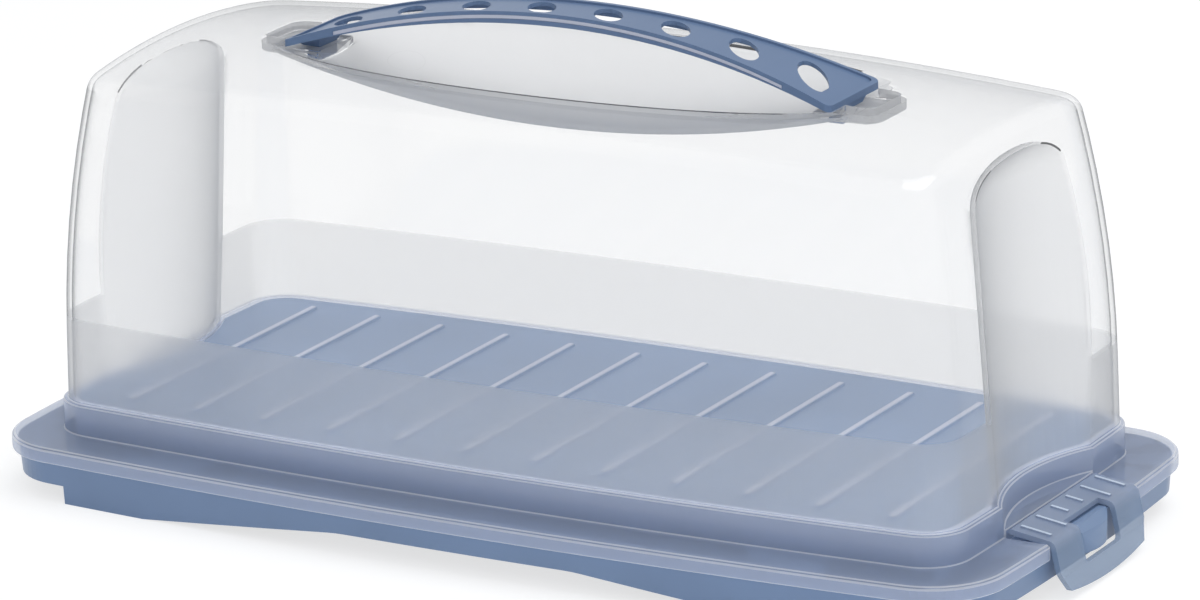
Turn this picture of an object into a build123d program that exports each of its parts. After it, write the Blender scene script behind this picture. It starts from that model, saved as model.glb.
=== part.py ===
from build123d import *
import math
import os

os.makedirs("parts", exist_ok=True)

# A long cake carrier: a ribbed tray on a raised foot, a clear domed hood that plugs over it,
# an arched carry handle snapped into the hood, and one hinged latch at each short end.
# Millimetres. X runs along the carrier, Z is up, and Z 0 is the plane that the tray stands on.

# ---------------------------------------------------------------- driving sizes: tray
TRAY_HALF_LENGTH = 170.8      # at mid side, just under the ledge
TRAY_HALF_WIDTH = 83.1
TRAY_CORNER = 22.0
TRAY_WALL = 2.0
LONG_BOW = 6.6                # how far the long sides bulge between their corners
SHORT_BOW = 3.0
LEDGE_Z = 16.7                # top of the ledge that the hood stands on
SKIRT_DRAFT = 1.2             # how much narrower the skirt is at its bottom
SKIRT_END_Z = 5.9             # bottom of the skirt beyond the foot
FOOT_SETBACK = 27.8           # from the tray's end to the foot's
ARCH_RISE = 7.0               # the foot's long edges lift off the table mid way
ARCH_FLAT_HALF = 41.0
ARCH_HALF = 113.0
ARCH_ROUND = 60.0
FLOOR_RISE = 11.4             # of the raised cake floor above the ledge
FLOOR_BEVEL = 0.9
RIB_COUNT = 12
RIB_SPAN_MARGIN = 25.0        # from the band's end to the last rib's middle
RIB_WIDTH = 2.4
RIB_HEIGHT = 0.8
RIB_END_MARGIN = 7.0
CATCH_HALF_WIDTH = 10.5
CATCH_FRONT_RADIUS = 20.0     # the catch's front edge is an arc, seen from above
CATCH_TIP_Z = 8.7             # underside of the catch, which the latch's bar hooks under
CATCH_HUMP = 0.8              # of the catch above the ledge
CATCH_START = 3.0             # the catch starts this far inside the tray's end

# ---------------------------------------------------------------- driving sizes: hood
HOOD_WALL = 1.6
FLANGE_WALL = 1.6
LIP_WALL = 1.6
LIP_GAP = 0.3                 # between the lip and the tray's rim
LIP_DROP = 3.2                # how far the lip hangs below the ledge
LIP_BEVEL = 0.8
BAND_END_SETBACK = 13.2       # from the tray's end to the band that stands on the flange
BAND_SIDE_SETBACK = 13.9
BAND_HEIGHT = 9.6
BAND_STEP = 1.3
HOOD_CORNER = 13.0
HOOD_LONG_BOW = 5.2
HOOD_SHORT_BOW = 1.2
END_DRAFT = 0.5               # degrees
SIDE_DRAFT = 1.9
CURVE_HEIGHT = 32.0           # above the flange, where the walls start to curve inwards
END_CURVE = 370.0             # radius of that curve at the ends
SIDE_CURVE = 1000.0           # and at the long sides
CURVE_STEPS = 8
CROWN_Z = 140.8               # outside of the crown, at its centre
CROWN_RADIUS_LENGTH = 1900.0
CROWN_RADIUS_WIDTH = 280.0
CROWN_ROUND = 6.5
NICHE_RADIUS = 66.0           # hand recess in each end wall
NICHE_DEPTH = 7.3
NICHE_LEAN = 4.0              # degrees, inwards
NICHE_TOP_DEPTH = 8.3         # below the crown
NICHE_ROUND = 12.0
DISH_DEPTH = 20.0             # of the finger dish under the handle
DISH_RADIUS = 53.0            # across the dish
DISH_ARC = 360.0              # along it
DISH_END_MARGIN = 2.0         # past the handle's end
SEAT_DEPTH = 6.2              # of the flat seat for each end of the handle
SEAT_INSET = 9.0              # the seat starts this far inside the handle's end
SEAT_REACH = 11.3             # and ends this far past it
SEAT_HALF_WIDTH = 10.5
SEAT_CORNER = 4.0
FIT_GAP = 0.5                 # beside the tray's floor, inside the hood

# ---------------------------------------------------------------- driving sizes: handle
HANDLE_HALF_LENGTH = 95.0
HANDLE_MID_HALF_WIDTH = 9.6
HANDLE_END_HALF_WIDTH = 16.5
HANDLE_CORNER = 2.0
HANDLE_RISE = 14.0            # of the strap's top above the crown, mid way
HANDLE_END_RISE = 3.9         # of the strap's ends above their seats
STRAP_WALL = 2.0
RAIL_WALL = 1.8
RAIL_DEPTH = 3.8              # mid way along the handle
RAIL_END_DEPTH = 2.2
TROUGH_DEPTH = 0.7            # the strap's top is sunk inside its raised rim
TROUGH_MARGIN = 1.5
GROOVE_END_MARGIN = 17.0
GROOVE_START = 1.2            # below the strap's top
GROOVE_HEIGHT = 1.2
GROOVE_DEPTH = 0.5
HOLE_COUNT = 8
HOLE_END_MARGIN = 14.0        # from the handle's end to the last hole's middle
HOLE_HALF_WIDTH = 4.3
HOLE_LENGTH_SHARE = 0.72      # a hole's half length, of the strap's half width there
HOLE_SLANT = -51.0            # degrees, of a hole's long way to the handle
PEDESTAL_INSET = 8.5          # each end pedestal stands on the hood's seat
PEDESTAL_LENGTH = 8.0
PEDESTAL_HALF_WIDTH = 8.5
LUG_LENGTH = 3.6
LUG_HALF_WIDTH = 5.0
LUG_REACH = 4.4               # below the seat
BARB = 1.0
SLOT_GAP = 0.3

# ---------------------------------------------------------------- driving sizes: latch
HINGE_MARGIN = 1.3            # from the band's end to the hinge
HINGE_RISE = 1.6              # above the flange
HINGE_GAP = 0.3
LATCH_WALL = 1.8
LATCH_HALF_WIDTH = 28.5
LATCH_SIDE_GAP = 1.2          # beside the latch, in the flange and the lip
PAD_RISE = 2.4                # of the pad inside the hinge line, above the flange
BEND_GAP = 0.6                # between the tray's rim and the latch where it turns down
BEND_DROP = 0.4               # from the flange to mid wall at the bend
BEND_ROUND = 2.0
BAR_FLARE = 2.2               # the window's bar stands this far out from the bend
BAR_Z = 7.5                   # top of the bar, under the catch
PULL_FLARE = 4.2
PULL_Z = 1.4                  # bottom of the pull, mid way along it
PULL_HALF_WIDTH = 24.8
PULL_SAG = 1.8                # of the pull's bottom edge
WINDOW_HALF_WIDTH = 11.7
WINDOW_BACK = 4.6             # the window starts this far inside the bend
WINDOW_CORNER = 1.5
SWING_GAP = 0.25              # between the bar's swing and the catch
GRIP_COUNT = 6
GRIP_SPAN = 50.0              # across the grips' middles
GRIP_WIDTH = 1.2
GRIP_HEIGHT = 0.7
GRIP_MARGIN = 1.6

# ---------------------------------------------------------------- worked-out places
FLANGE_Z = LEDGE_Z + FLANGE_WALL
FLOOR_Z = LEDGE_Z + FLOOR_RISE
FOOT_HALF_LENGTH = TRAY_HALF_LENGTH - FOOT_SETBACK
BAND_Z = FLANGE_Z + BAND_HEIGHT
BAND_HALF_LENGTH = TRAY_HALF_LENGTH - BAND_END_SETBACK
BAND_HALF_WIDTH = TRAY_HALF_WIDTH - BAND_SIDE_SETBACK
RIB_PITCH = 2 * (BAND_HALF_LENGTH - RIB_SPAN_MARGIN) / (RIB_COUNT - 1)
WALL_HALF_LENGTH = BAND_HALF_LENGTH - BAND_STEP
WALL_HALF_WIDTH = BAND_HALF_WIDTH - BAND_STEP
CROWN_HALF = BAND_HALF_WIDTH + HOOD_CORNER  # the crown's cutter is this wide
NICHE_X = WALL_HALF_LENGTH - NICHE_DEPTH + NICHE_RADIUS
NICHE_TOP_Z = CROWN_Z - NICHE_TOP_DEPTH
DOME_HEIGHT = CROWN_Z - FLANGE_Z + HOOD_WALL  # the walls' sections reach past the crown
DISH_Z = CROWN_Z - DISH_DEPTH
DISH_END = HANDLE_HALF_LENGTH + DISH_END_MARGIN
SEAT_Z = CROWN_Z - SEAT_DEPTH
SEAT_START = HANDLE_HALF_LENGTH - SEAT_INSET
SEAT_END = HANDLE_HALF_LENGTH + SEAT_REACH
HANDLE_TOP_Z = CROWN_Z + HANDLE_RISE
HANDLE_END_Z = SEAT_Z + HANDLE_END_RISE
HOLE_PITCH = 2 * (HANDLE_HALF_LENGTH - HOLE_END_MARGIN) / (HOLE_COUNT - 1)
GROOVE_HALF_LENGTH = HANDLE_HALF_LENGTH - GROOVE_END_MARGIN
PEDESTAL_START = HANDLE_HALF_LENGTH - PEDESTAL_INSET
HINGE_X = BAND_HALF_LENGTH + HINGE_MARGIN
HINGE_Z = FLANGE_Z + HINGE_RISE
BEND_Z = FLANGE_Z - BEND_DROP
PAD_Z = FLANGE_Z + PAD_RISE
PAD_HALF_WIDTH = LATCH_HALF_WIDTH + LATCH_SIDE_GAP
BEND_X = TRAY_HALF_LENGTH + BEND_GAP + LATCH_WALL / 2
BAR_X = BEND_X + BAR_FLARE
PULL_X = BEND_X + PULL_FLARE
WINDOW_X = BEND_X - WINDOW_BACK
BAR_SWING = math.hypot(BAR_X - LATCH_WALL / 2 - HINGE_X, HINGE_Z - BAR_Z)
CATCH_TIP_X = HINGE_X + math.sqrt((BAR_SWING - SWING_GAP) ** 2 - (HINGE_Z - CATCH_TIP_Z) ** 2)
FAR = 300.0                   # past everything, for cuts


# %% Shared shapes
def bowed_face(half_length, half_width, corner, long_bow, short_bow):
    """Rounded rectangle whose four sides bulge; its half sizes are taken at mid side."""
    x = half_length - short_bow
    y = half_width - long_bow
    sides = [
        ThreePointArc((-x, -y), (0, -half_width), (x, -y)),
        ThreePointArc((x, -y), (half_length, 0), (x, y)),
        ThreePointArc((x, y), (0, half_width), (-x, y)),
        ThreePointArc((-x, y), (-half_length, 0), (-x, -y)),
    ]
    face = make_face(Curve() + sides)
    return fillet(face.vertices(), corner)


def prism(face, low, high):
    return Pos(0, 0, low) * extrude(face, high - low)


def side_prism(face, half_width):
    """A face drawn in X and Z, made solid half_width to each side of the XZ plane."""
    return extrude(Plane.XZ * face, half_width, both=True)


def block(x_start, x_end, half_width, low, high):
    face = Pos((x_start + x_end) / 2, 0) * Rectangle(x_end - x_start, 2 * half_width)
    return prism(face, low, high)


def both_ends(shape):
    return shape + mirror(shape, Plane.YZ)


def rim_face(grow):
    """The tray's outline, grown by grow."""
    return bowed_face(TRAY_HALF_LENGTH + grow, TRAY_HALF_WIDTH + grow, TRAY_CORNER + grow,
                      LONG_BOW, SHORT_BOW)


def wall_face(grow):
    """The hood's outline at the foot of its wall, grown by grow."""
    return bowed_face(WALL_HALF_LENGTH + grow, WALL_HALF_WIDTH + grow, HOOD_CORNER + grow,
                      HOOD_LONG_BOW, HOOD_SHORT_BOW)


def niches(grow):
    """Cutters for the two end recesses: leaning posts with a rounded top, grown by grow."""
    length = NICHE_TOP_Z - FLANGE_Z
    post = Cylinder(NICHE_RADIUS + grow, 2 * length + 2 * grow)
    top_edge = post.edges().filter_by(GeomType.CIRCLE).sort_by(Axis.Z)[-1]
    post = fillet(top_edge, NICHE_ROUND + grow)
    return both_ends(Pos(NICHE_X, 0, FLANGE_Z) * (Rot(0, -NICHE_LEAN, 0) * post))


# %% Tray
def floor_form(inset):
    """The raised cake floor's outline as a solid, moved inwards by inset on its sides and top."""
    play = HOOD_WALL + FIT_GAP + inset
    lean = (FLOOR_Z - FLANGE_Z) * math.tan(math.radians(NICHE_LEAN))
    recess = Pos(NICHE_X - lean, 0) * Circle(NICHE_RADIUS + play)
    return prism(wall_face(-play), 0, FLOOR_Z - inset) - both_ends(prism(recess, 0, FLOOR_Z))


def catch():
    """A tongue on the tray's end, shaped to stay inside the swing of the latch's bar."""
    start = TRAY_HALF_LENGTH - CATCH_START
    top_z = LEDGE_Z + CATCH_HUMP
    root_x = TRAY_HALF_LENGTH - SKIRT_DRAFT - TRAY_WALL / 2
    root_z = LEDGE_Z - TRAY_WALL / 2
    bulge_x = (TRAY_HALF_LENGTH + CATCH_TIP_X) / 2 + CATCH_HUMP
    outline = Curve() + [
        Polyline((CATCH_TIP_X, CATCH_TIP_Z), (root_x, CATCH_TIP_Z), (root_x, root_z), (start, root_z),
                 (start, LEDGE_Z), (start + CATCH_HUMP, top_z), (TRAY_HALF_LENGTH, top_z)),
        ThreePointArc((TRAY_HALF_LENGTH, top_z), (bulge_x, (top_z + CATCH_TIP_Z) / 2),
                      (CATCH_TIP_X, CATCH_TIP_Z)),
    ]
    front = Pos(CATCH_TIP_X - CATCH_FRONT_RADIUS, 0) * Circle(CATCH_FRONT_RADIUS)
    return side_prism(make_face(outline), CATCH_HALF_WIDTH) & prism(front, 0, FAR)


def make_tray():
    skirt = loft([rim_face(-SKIRT_DRAFT), Pos(0, 0, LEDGE_Z) * rim_face(0)])
    skirt -= loft([rim_face(-SKIRT_DRAFT - TRAY_WALL), Pos(0, 0, LEDGE_Z) * rim_face(-TRAY_WALL)])
    skirt -= both_ends(block(FOOT_HALF_LENGTH, FAR, FAR, 0, SKIRT_END_Z))
    arch = make_face(Polyline((-ARCH_HALF, 0), (-ARCH_FLAT_HALF, ARCH_RISE), (ARCH_FLAT_HALF, ARCH_RISE),
                              (ARCH_HALF, 0), close=True))
    arch = fillet(arch.vertices().group_by(Axis.Y)[-1], ARCH_ROUND)
    skirt -= side_prism(arch, FAR)
    ledge = prism(rim_face(-TRAY_WALL / 2), LEDGE_Z - TRAY_WALL, LEDGE_Z)
    end_wall = both_ends(block(FOOT_HALF_LENGTH - TRAY_WALL, FOOT_HALF_LENGTH, FAR, 0, LEDGE_Z - TRAY_WALL / 2))
    inside = loft([rim_face(-SKIRT_DRAFT - TRAY_WALL / 2), Pos(0, 0, LEDGE_Z) * rim_face(-TRAY_WALL / 2)])
    floor = floor_form(0)
    floor = chamfer(floor.edges().group_by(Axis.Z)[-1], FLOOR_BEVEL)
    tray = skirt + ledge + (end_wall & inside) + (floor & prism(Rectangle(FAR * 2, FAR), LEDGE_Z, FLOOR_Z))
    hollow = floor_form(TRAY_WALL) - both_ends(block(FOOT_HALF_LENGTH - TRAY_WALL, FOOT_HALF_LENGTH, FAR, 0, LEDGE_Z))
    tray -= hollow
    rib_half = WALL_HALF_WIDTH - HOOD_LONG_BOW - HOOD_WALL - FIT_GAP - RIB_END_MARGIN
    rib = loft([Rectangle(RIB_WIDTH, 2 * rib_half),
                Pos(0, 0, RIB_HEIGHT) * Rectangle(RIB_WIDTH - RIB_HEIGHT, 2 * rib_half - RIB_HEIGHT)])
    for index in range(RIB_COUNT):
        tray += Pos((index - (RIB_COUNT - 1) / 2) * RIB_PITCH, 0, FLOOR_Z) * rib
    return tray + both_ends(catch())


# %% Hood
def crown_ring(lower):
    """A ring on edge whose doubly curved top is the crown, moved down by lower."""
    top = CROWN_RADIUS_LENGTH
    edge = top - CROWN_RADIUS_WIDTH + math.sqrt(CROWN_RADIUS_WIDTH ** 2 - CROWN_HALF ** 2)
    low = top - CROWN_Z
    outline = Curve() + [
        ThreePointArc((edge, -CROWN_HALF), (top, 0), (edge, CROWN_HALF)),
        Polyline((edge, CROWN_HALF), (low, CROWN_HALF), (low, -CROWN_HALF), (edge, -CROWN_HALF)),
    ]
    return Pos(0, 0, CROWN_Z - lower - top) * revolve(make_face(outline), Axis.Y, 360)


def wall_inset(height, draft, curve):
    """How far a wall has moved inwards at a height above the flange."""
    above = max(height - CURVE_HEIGHT, 0)
    return height * math.tan(math.radians(draft)) + above ** 2 / (2 * curve)


def wall_section(height, inset):
    half_length = WALL_HALF_LENGTH - wall_inset(height, END_DRAFT, END_CURVE) - inset
    half_width = WALL_HALF_WIDTH - wall_inset(height, SIDE_DRAFT, SIDE_CURVE) - inset
    face = bowed_face(half_length, half_width, HOOD_CORNER - inset, HOOD_LONG_BOW, HOOD_SHORT_BOW)
    return Pos(0, 0, FLANGE_Z + height) * face


def dome(inset):
    """The hood's walls and rounded crown as one solid, moved inwards by inset."""
    step = (DOME_HEIGHT - CURVE_HEIGHT) / CURVE_STEPS
    heights = [-FLANGE_WALL] + [CURVE_HEIGHT + index * step for index in range(CURVE_STEPS + 1)]
    body = loft([wall_section(height, inset) for height in heights], ruled=True) & crown_ring(inset)
    return fillet(body.faces().sort_by(Axis.Z)[-1].edges(), CROWN_ROUND - inset)


def dish(grow):
    """The finger dish with a flat seat for each end of the handle, grown by grow."""
    tube = Torus(DISH_ARC - DISH_RADIUS, DISH_RADIUS + grow, rotation=(90, 0, 0))
    bowl = Pos(0, 0, DISH_Z + DISH_ARC) * tube
    bowl &= prism(Rectangle(2 * (DISH_END + grow), FAR), 0, FAR)
    bowl -= both_ends(block(SEAT_START + grow, FAR, SEAT_HALF_WIDTH - grow, 0, SEAT_Z - grow))
    seat = Pos((SEAT_START + SEAT_END) / 2, 0) * RectangleRounded(
        SEAT_END - SEAT_START + 2 * grow, 2 * (SEAT_HALF_WIDTH + grow), SEAT_CORNER + grow)
    return bowl + both_ends(prism(seat, SEAT_Z - grow, FAR))


def make_hood():
    band = prism(wall_face(BAND_STEP), LEDGE_Z, BAND_Z) - niches(-BAND_STEP)
    flange = prism(rim_face(LIP_GAP + LIP_WALL), LEDGE_Z - LIP_DROP, FLANGE_Z)
    flange = chamfer(flange.edges().group_by(Axis.Z)[-1], LIP_BEVEL)
    flange -= prism(rim_face(LIP_GAP), LEDGE_Z - LIP_DROP, LEDGE_Z)
    pad = both_ends(block(0, BAND_HALF_LENGTH + BAND_STEP, PAD_HALF_WIDTH, LEDGE_Z, PAD_Z))
    shell = (dome(0) - niches(0) - dish(0)) + band + flange + pad
    cavity = dome(HOOD_WALL) - niches(HOOD_WALL) - dish(HOOD_WALL)
    latch_room = both_ends(block(HINGE_X - LATCH_WALL / 2 - HINGE_GAP, FAR, PAD_HALF_WIDTH, 0, PAD_Z))
    lug_x = PEDESTAL_START + PEDESTAL_LENGTH / 2
    slots = both_ends(block(lug_x - LUG_LENGTH / 2 - SLOT_GAP, lug_x + LUG_LENGTH / 2 + BARB + SLOT_GAP,
                            LUG_HALF_WIDTH + SLOT_GAP, SEAT_Z - 2 * HOOD_WALL, SEAT_Z + HOOD_WALL))
    return shell - cavity - latch_room - slots


# %% Handle
def under_arch(half_length, mid_z, end_z, low=0):
    """Everything from height low up to an arch, in X and Z."""
    arch = ThreePointArc((half_length, end_z), (0, mid_z), (-half_length, end_z))
    feet = Polyline((-half_length, end_z), (-half_length, low), (half_length, low), (half_length, end_z))
    return side_prism(make_face(Curve() + [arch, feet]), FAR)


def strap_face(inset):
    """The strap's outline: waisted mid way, wider at its ends, moved inwards by inset."""
    x = HANDLE_HALF_LENGTH - inset
    end = HANDLE_END_HALF_WIDTH - inset
    mid = HANDLE_MID_HALF_WIDTH - inset
    outline = Curve() + [
        ThreePointArc((-x, -end), (0, -mid), (x, -end)),
        Line((x, -end), (x, end)),
        ThreePointArc((x, end), (0, mid), (-x, end)),
        Line((-x, end), (-x, -end)),
    ]
    face = make_face(outline)
    return fillet(face.vertices(), HANDLE_CORNER)


def strap_holes():
    """Slanted oval holes, longer where the strap is wider."""
    holes = []
    for index in range(HOLE_COUNT):
        x = (index - (HOLE_COUNT - 1) / 2) * HOLE_PITCH
        along = x / HANDLE_HALF_LENGTH
        half = HANDLE_MID_HALF_WIDTH + (HANDLE_END_HALF_WIDTH - HANDLE_MID_HALF_WIDTH) * along ** 2
        oval = Ellipse(half * HOLE_LENGTH_SHARE, HOLE_HALF_WIDTH)
        holes.append(prism(Pos(x, 0) * (Rot(0, 0, HOLE_SLANT) * oval), 0, FAR))
    return holes


def make_handle():
    top, end = HANDLE_TOP_Z, HANDLE_END_Z
    full = under_arch(HANDLE_HALF_LENGTH, top, end) & prism(strap_face(0), 0, FAR)
    inside = prism(strap_face(RAIL_WALL), 0, FAR)
    handle = full - under_arch(HANDLE_HALF_LENGTH, top - STRAP_WALL, end - STRAP_WALL)
    handle += full - under_arch(HANDLE_HALF_LENGTH, top - RAIL_DEPTH, end - RAIL_END_DEPTH) - inside
    trough = prism(strap_face(TROUGH_MARGIN), 0, FAR)
    handle -= trough - under_arch(HANDLE_HALF_LENGTH, top - TROUGH_DEPTH, end - TROUGH_DEPTH)
    sag = (top - end) * (GROOVE_HALF_LENGTH / HANDLE_HALF_LENGTH) ** 2
    groove_end = top - sag - GROOVE_START - GROOVE_HEIGHT
    groove = under_arch(GROOVE_HALF_LENGTH, top - GROOVE_START, groove_end + GROOVE_HEIGHT, groove_end)
    groove -= under_arch(GROOVE_HALF_LENGTH, top - GROOVE_START - GROOVE_HEIGHT, groove_end)
    handle -= groove - prism(strap_face(GROOVE_DEPTH), 0, FAR)
    handle -= strap_holes()
    pedestal = block(PEDESTAL_START, PEDESTAL_START + PEDESTAL_LENGTH, PEDESTAL_HALF_WIDTH, SEAT_Z, FAR)
    pedestal &= under_arch(HANDLE_HALF_LENGTH, top - STRAP_WALL, end - STRAP_WALL)
    lug_x = PEDESTAL_START + PEDESTAL_LENGTH / 2
    lug = block(lug_x - LUG_LENGTH / 2, lug_x + LUG_LENGTH / 2, LUG_HALF_WIDTH, SEAT_Z - LUG_REACH, SEAT_Z)
    barb_top = SEAT_Z - HOOD_WALL - SLOT_GAP
    barb = block(lug_x, lug_x + LUG_LENGTH / 2 + BARB, LUG_HALF_WIDTH, SEAT_Z - LUG_REACH, barb_top)
    return handle + both_ends(pedestal + lug + barb)


# %% Latch
def tab_z(x):
    """Mid wall of the latch's tab."""
    return HINGE_Z + (BEND_Z - HINGE_Z) * (x - HINGE_X) / (BEND_X - HINGE_X)


def make_latch():
    slope = (PULL_X - BAR_X) / (PULL_Z - BAR_Z)
    path = FilletPolyline((HINGE_X, HINGE_Z), (BEND_X, BEND_Z), (BAR_X, BAR_Z),
                          (PULL_X - slope * LATCH_WALL, PULL_Z - LATCH_WALL), radius=BEND_ROUND)
    latch = side_prism(make_face(offset(path, LATCH_WALL / 2, side=Side.BOTH)), LATCH_HALF_WIDTH)
    corner_z = PULL_Z + PULL_SAG
    side_z = BAR_Z + LATCH_WALL
    plan = Curve() + [
        Polyline((-PULL_HALF_WIDTH, corner_z), (-LATCH_HALF_WIDTH, side_z), (-LATCH_HALF_WIDTH, FAR),
                 (LATCH_HALF_WIDTH, FAR), (LATCH_HALF_WIDTH, side_z), (PULL_HALF_WIDTH, corner_z)),
        ThreePointArc((PULL_HALF_WIDTH, corner_z), (0, PULL_Z), (-PULL_HALF_WIDTH, corner_z)),
    ]
    latch &= extrude(Plane.YZ * make_face(plan), FAR)
    window = Pos(WINDOW_X + FAR / 2, 0, BAR_Z + FAR / 2) * Box(FAR, 2 * WINDOW_HALF_WIDTH, FAR)
    window = fillet(window.edges().filter_by(Axis.X).group_by(Axis.Z)[0], WINDOW_CORNER)
    latch -= window
    for index in range(GRIP_COUNT):
        y = (index / (GRIP_COUNT - 1) - 1 / 2) * GRIP_SPAN
        start = HINGE_X + GRIP_MARGIN
        end = BEND_X - BEND_ROUND
        if abs(y) < WINDOW_HALF_WIDTH + GRIP_WIDTH:
            end = WINDOW_X - GRIP_MARGIN
        rise = LATCH_WALL / 2 + GRIP_HEIGHT
        grip = Polyline((start, tab_z(start)), (end, tab_z(end)), (end, tab_z(end) + rise),
                        (start, tab_z(start) + rise), close=True)
        latch += Pos(0, y, 0) * side_prism(make_face(grip), GRIP_WIDTH / 2)
    return latch


# %% The assembly
latch_right = make_latch()
nodes = {
    "base_tray": make_tray(),
    "hood": make_hood(),
    "carry_handle": make_handle(),
    "latch_right": latch_right,
    "latch_left": mirror(latch_right, Plane.YZ),
}
for name, shape in nodes.items():
    export_step(shape, f"parts/{name}.step")
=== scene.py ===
import math

import bpy
from mathutils import Matrix, Vector


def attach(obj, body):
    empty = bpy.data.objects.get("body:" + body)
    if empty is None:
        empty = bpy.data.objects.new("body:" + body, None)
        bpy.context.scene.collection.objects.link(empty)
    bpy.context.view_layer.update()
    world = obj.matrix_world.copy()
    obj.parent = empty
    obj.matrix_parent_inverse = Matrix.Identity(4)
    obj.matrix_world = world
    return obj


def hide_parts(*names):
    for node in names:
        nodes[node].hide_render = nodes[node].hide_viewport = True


# %% [markdown]
# # A clear-domed cake carrier
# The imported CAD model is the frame: five mouldings, already at their real size. This lesson
# gives them soft moulded edges, real plastics, a camera and a small studio.

# %% Load the frame
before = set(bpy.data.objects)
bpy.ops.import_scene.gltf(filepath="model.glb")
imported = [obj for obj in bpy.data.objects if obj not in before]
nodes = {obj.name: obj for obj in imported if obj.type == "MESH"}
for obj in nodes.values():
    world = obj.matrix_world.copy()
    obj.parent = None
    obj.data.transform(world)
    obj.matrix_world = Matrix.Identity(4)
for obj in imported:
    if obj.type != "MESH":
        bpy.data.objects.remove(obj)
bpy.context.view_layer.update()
MM = 0.001

# %% [markdown]
# ## Camera
# A long lens about two metres away keeps the long walls nearly parallel. The camera stands to
# the right of the front and a little above the crown, and is rolled slightly, as a hand-set
# tripod is. Its three axes are worked out from three angles, which are easier to adjust than a
# matrix.

# %% Camera
FOCAL_PX = 6427.0
PICTURE_WIDTH = 1200.0
SENSOR_MM = 36.0
CLIP_END = 20.0
CAMERA_PLACE = Vector((949.6, -1621.7, 636.7)) * MM
CAMERA_TURN = math.radians(30.20)
CAMERA_RISE = math.radians(16.99)
CAMERA_ROLL = math.radians(-1.68)


def camera_matrix():
    turn, rise, roll = CAMERA_TURN, CAMERA_RISE, CAMERA_ROLL
    reach, lift = math.cos(rise), math.sin(rise)
    back = Vector((math.sin(turn) * reach, -math.cos(turn) * reach, lift))
    level = Vector((math.cos(turn), math.sin(turn), 0))
    upright = back.cross(level)
    right = level * math.cos(roll) + upright * math.sin(roll)
    up = upright * math.cos(roll) - level * math.sin(roll)
    turned = Matrix((right, up, back)).transposed().to_4x4()
    return Matrix.Translation(CAMERA_PLACE) @ turned


camera_data = bpy.data.cameras.new("camera")
camera_data.sensor_width = SENSOR_MM
camera_data.lens = FOCAL_PX / PICTURE_WIDTH * SENSOR_MM
camera_data.clip_end = CLIP_END
camera = bpy.data.objects.new("camera", camera_data)
bpy.context.scene.collection.objects.link(camera)
camera.matrix_world = camera_matrix()
bpy.context.scene.camera = camera
bpy.context.scene.view_settings.view_transform = "Standard"
print("camera", [round(c, 3) for c in CAMERA_PLACE], "lens", round(camera_data.lens, 1), "mm")

# %% [markdown]
# ## One skin from loose triangles
# A CAD node is a set of loose triangles, and it stays as it is. A piece that needs shaping
# starts as a copy of it, with its doubled points merged so that neighbouring faces share their
# edges. Its flat faces are joined again as well, since a bevel takes each leftover edge for a
# corner. A remesh would also give one skin, but it would blur every corner alike.

# %% Merged copies
MERGE_GAP = 0.0005 * MM
FLAT_ANGLE = math.radians(0.5)


def select_only(piece):
    bpy.ops.object.select_all(action="DESELECT")
    piece.select_set(True)
    bpy.context.view_layer.objects.active = piece


def merged_copy(node_name, piece_name):
    select_only(nodes[node_name])
    bpy.ops.object.duplicate()
    piece = bpy.context.object
    piece.name = piece_name
    piece.parent = None
    bpy.ops.object.mode_set(mode="EDIT")
    bpy.ops.mesh.select_all(action="SELECT")
    bpy.ops.mesh.remove_doubles(threshold=MERGE_GAP)
    bpy.ops.object.mode_set(mode="OBJECT")
    print(piece.name, "starts with", len(piece.data.polygons), "triangles")
    return piece


def join_flats(piece):
    select_only(piece)
    bpy.ops.object.mode_set(mode="EDIT")
    bpy.ops.mesh.select_all(action="SELECT")
    bpy.ops.mesh.dissolve_limited(angle_limit=FLAT_ANGLE)
    bpy.ops.object.mode_set(mode="OBJECT")


# %% [markdown]
# ## Soft edges
# No moulded edge is knife sharp: the tool's corners leave a small round that catches the light
# as a thin bright line. A bevel modifier rounds every edge past a set angle, and weighted
# normals keep the flats beside it flat. With `edge_slot` the new faces take a material slot of
# their own.

# %% Soften a piece and let it stand in for its node
SMOOTH_ANGLE = math.radians(32)
BEVEL_ANGLE = math.radians(34)
BEVEL_SEGMENTS = 2
EDGE_ROUNDS = {"tray": 0.4 * MM, "handle": 0.3 * MM, "latch": 0.35 * MM, "hood": 0.35 * MM}


def soften(piece, edge_round, edge_slot=-1, clamp=True):
    select_only(piece)
    bpy.ops.object.shade_smooth_by_angle(angle=SMOOTH_ANGLE)
    bevel = piece.modifiers.new("edge_round", "BEVEL")
    bevel.width = edge_round
    bevel.segments = BEVEL_SEGMENTS
    bevel.limit_method = "ANGLE"
    bevel.angle_limit = BEVEL_ANGLE
    bevel.harden_normals = True
    bevel.use_clamp_overlap = clamp
    bevel.material = edge_slot
    bpy.ops.object.modifier_apply(modifier=bevel.name)
    weigh = piece.modifiers.new("weighted_normals", "WEIGHTED_NORMAL")
    weigh.keep_sharp = True
    bpy.ops.object.modifier_apply(modifier=weigh.name)
    print(piece.name, "has", len(piece.data.polygons), "faces with its soft edges")


def stand_in(piece, node_name, body):
    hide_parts(node_name)
    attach(piece, body)


# %% [markdown]
# ## Feet of the handle
# Each end of the handle stands on a short pedestal that narrows toward the hood's seat, and the
# solid has it straight. Its lowest corners are picked by their place. The outer pair and the
# inner pair at both ends are drawn in together by a resize about the origin, and the inner pair
# also moves outward. A new pedestal would do as well, but moved corners keep the handle one
# piece.

# %% Narrow the feet
FOOT_CORNER = (86.5 * MM, 8.5 * MM, 134.6 * MM)
FOOT_LENGTH = 8.0 * MM
FOOT_PLAY = 0.05 * MM
FOOT_NARROWING = 0.64
FOOT_INNER_LOW = 88.6 * MM
INNER_SHIFT = FOOT_INNER_LOW / FOOT_CORNER[0]


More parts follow.
